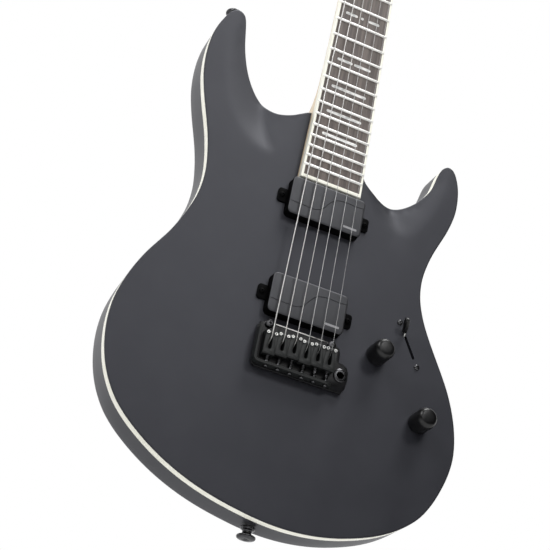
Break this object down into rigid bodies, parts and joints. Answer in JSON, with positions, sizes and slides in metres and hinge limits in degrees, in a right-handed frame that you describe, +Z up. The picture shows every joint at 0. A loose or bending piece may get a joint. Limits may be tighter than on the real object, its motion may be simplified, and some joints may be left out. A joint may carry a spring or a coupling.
{
  "type": "electric guitar",
  "caption": "Solid-body electric guitar with double cutaway, bolted neck, floating vibrato bridge, covered pickups, turning knobs and geared tuners; hangs upright by its headstock.",
  "frame": {"origin": "centreline of the neck where the strings leave the nut, in the plane of the fret crowns: the place where a wall hanger's yoke takes the neck", "axes": "+Z up the neck towards the head, -Y out of the playing face, +X towards the treble side"},
  "size_m": [0.3099, 0.067, 0.9939],
  "materials": {
    "body_lacquer": "satin black lacquer over wood",
    "binding": "cream edge strip",
    "neck_wood": "satin maple",
    "board_wood": "dark open-grained wood with steel frets",
    "nut": "black graphite",
    "black_hardware": "black plated, semi-gloss",
    "pickup_cover": "moulded, satin",
    "knob": "black anodised",
    "steel": "bright",
    "cast_zinc": "plated",
    "black_plastic": "fine matte",
    "battery_case": "plain dark"
  },
  "bodies": {
    "guitar": {"body": "body_lacquer", "body_binding": "binding", "neck": "neck_wood", "fretboard": "board_wood", "nut": "nut", "neck_plate": "black_hardware", "pickup_neck": "pickup_cover", "pickup_bridge": "pickup_cover", "pivot_post_bass": "steel", "pivot_post_treble": "steel", "spring_claw": "cast_zinc", "volume_pot": "cast_zinc", "tone_pot": "cast_zinc", "switch_body": "cast_zinc", "output_jack": "black_hardware", "battery": "battery_case", "control_cover": "black_plastic", "spring_cover": "black_plastic", "strap_button_tail": "black_hardware", "strap_button_horn": "black_hardware", "vibrato_spring_bass": "steel", "vibrato_spring_middle": "steel", "vibrato_spring_treble": "steel", "tuner_housing_1": "black_hardware", "tuner_housing_2": "black_hardware", "tuner_housing_3": "black_hardware", "tuner_housing_4": "black_hardware", "tuner_housing_5": "black_hardware", "tuner_housing_6": "black_hardware", "string_1": "steel", "string_2": "steel", "string_3": "steel", "string_4": "steel", "string_5": "steel", "string_6": "steel"},
    "vibrato": {"vibrato_baseplate": "black_hardware", "arm_socket": "steel", "sustain_block": "cast_zinc", "saddle_1": "black_hardware", "saddle_2": "black_hardware", "saddle_3": "black_hardware", "saddle_4": "black_hardware", "saddle_5": "black_hardware", "saddle_6": "black_hardware"},
    "button_1": {"tuner_button_1": "black_hardware"},
    "post_1": {"tuner_post_1": "black_hardware"},
    "button_2": {"tuner_button_2": "black_hardware"},
    "post_2": {"tuner_post_2": "black_hardware"},
    "button_3": {"tuner_button_3": "black_hardware"},
    "post_3": {"tuner_post_3": "black_hardware"},
    "button_4": {"tuner_button_4": "black_hardware"},
    "post_4": {"tuner_post_4": "black_hardware"},
    "button_5": {"tuner_button_5": "black_hardware"},
    "post_5": {"tuner_post_5": "black_hardware"},
    "button_6": {"tuner_button_6": "black_hardware"},
    "post_6": {"tuner_post_6": "black_hardware"},
    "volume": {"volume_knob": "knob"},
    "tone": {"tone_knob": "knob"},
    "selector": {"switch_lever": "black_plastic"},
    "battery_door": {"battery_lid": "black_plastic"}
  },
  "joints": [
    {"name": "vibrato_pivot", "type": "hinge", "parent": "guitar", "child": "vibrato", "pos_m": [0, 0.0066, -0.6454], "axis": [-1, 0, 0], "range_deg": [-3, 16], "stiffness_Nm_per_rad": 25, "deforming": ["string_1", "string_2", "string_3", "string_4", "string_5", "string_6", "vibrato_spring_bass", "vibrato_spring_middle", "vibrato_spring_treble"]},
    {"name": "tuner_button_1_turn", "type": "hinge", "parent": "guitar", "child": "button_1", "pos_m": [0.01236, 0.027, 0.14911], "axis": [-0.9615, 0, 0.2747], "continuous": true},
    {"name": "tuner_post_1_turn", "type": "hinge", "parent": "guitar", "child": "post_1", "pos_m": [0.0139, 0, 0.1545], "axis": [0, -1, 0], "continuous": true},
    {"name": "tuner_button_2_turn", "type": "hinge", "parent": "guitar", "child": "button_2", "pos_m": [0.00536, 0.027, 0.12462], "axis": [-0.9615, 0, 0.2747], "continuous": true},
    {"name": "tuner_post_2_turn", "type": "hinge", "parent": "guitar", "child": "post_2", "pos_m": [0.0069, 0, 0.13], "axis": [0, -1, 0], "continuous": true},
    {"name": "tuner_button_3_turn", "type": "hinge", "parent": "guitar", "child": "button_3", "pos_m": [-0.00164, 0.027, 0.10011], "axis": [-0.9615, 0, 0.2747], "continuous": true},
    {"name": "tuner_post_3_turn", "type": "hinge", "parent": "guitar", "child": "post_3", "pos_m": [-0.0001, 0, 0.1055], "axis": [0, -1, 0], "continuous": true},
    {"name": "tuner_button_4_turn", "type": "hinge", "parent": "guitar", "child": "button_4", "pos_m": [-0.00864, 0.027, 0.07562], "axis": [-0.9615, 0, 0.2747], "continuous": true},
    {"name": "tuner_post_4_turn", "type": "hinge", "parent": "guitar", "child": "post_4", "pos_m": [-0.0071, 0, 0.081], "axis": [0, -1, 0], "continuous": true},
    {"name": "tuner_button_5_turn", "type": "hinge", "parent": "guitar", "child": "button_5", "pos_m": [-0.01564, 0.027, 0.05112], "axis": [-0.9615, 0, 0.2747], "continuous": true},
    {"name": "tuner_post_5_turn", "type": "hinge", "parent": "guitar", "child": "post_5", "pos_m": [-0.0141, 0, 0.0565], "axis": [0, -1, 0], "continuous": true},
    {"name": "tuner_button_6_turn", "type": "hinge", "parent": "guitar", "child": "button_6", "pos_m": [-0.02264, 0.027, 0.02661], "axis": [-0.9615, 0, 0.2747], "continuous": true},
    {"name": "tuner_post_6_turn", "type": "hinge", "parent": "guitar", "child": "post_6", "pos_m": [-0.0211, 0, 0.032], "axis": [0, -1, 0], "continuous": true},
    {"name": "volume_turn", "type": "hinge", "parent": "guitar", "child": "volume", "pos_m": [0.0702, 0, -0.6342], "axis": [0, -1, 0], "range_deg": [0, 300]},
    {"name": "tone_turn", "type": "hinge", "parent": "guitar", "child": "tone", "pos_m": [0.1166, 0, -0.6814], "axis": [0, -1, 0], "range_deg": [0, 300]},
    {"name": "selector_throw", "type": "hinge", "parent": "guitar", "child": "selector", "pos_m": [0.0976, 0.026, -0.6145], "axis": [0.8571, 0, 0.5151], "range_deg": [0, 66]},
    {"name": "battery_door_hinge", "type": "hinge", "parent": "guitar", "child": "battery_door", "pos_m": [-0.089, 0.0511, -0.646], "axis": [1, 0, 0], "range_deg": [0, 110]}
  ],
  "couplings": [
    {"joint": "tuner_post_1_turn", "follows": "tuner_button_1_turn", "ratio": 0.055556},
    {"joint": "tuner_post_2_turn", "follows": "tuner_button_2_turn", "ratio": 0.055556},
    {"joint": "tuner_post_3_turn", "follows": "tuner_button_3_turn", "ratio": 0.055556},
    {"joint": "tuner_post_4_turn", "follows": "tuner_button_4_turn", "ratio": 0.055556},
    {"joint": "tuner_post_5_turn", "follows": "tuner_button_5_turn", "ratio": 0.055556},
    {"joint": "tuner_post_6_turn", "follows": "tuner_button_6_turn", "ratio": 0.055556}
  ]
}
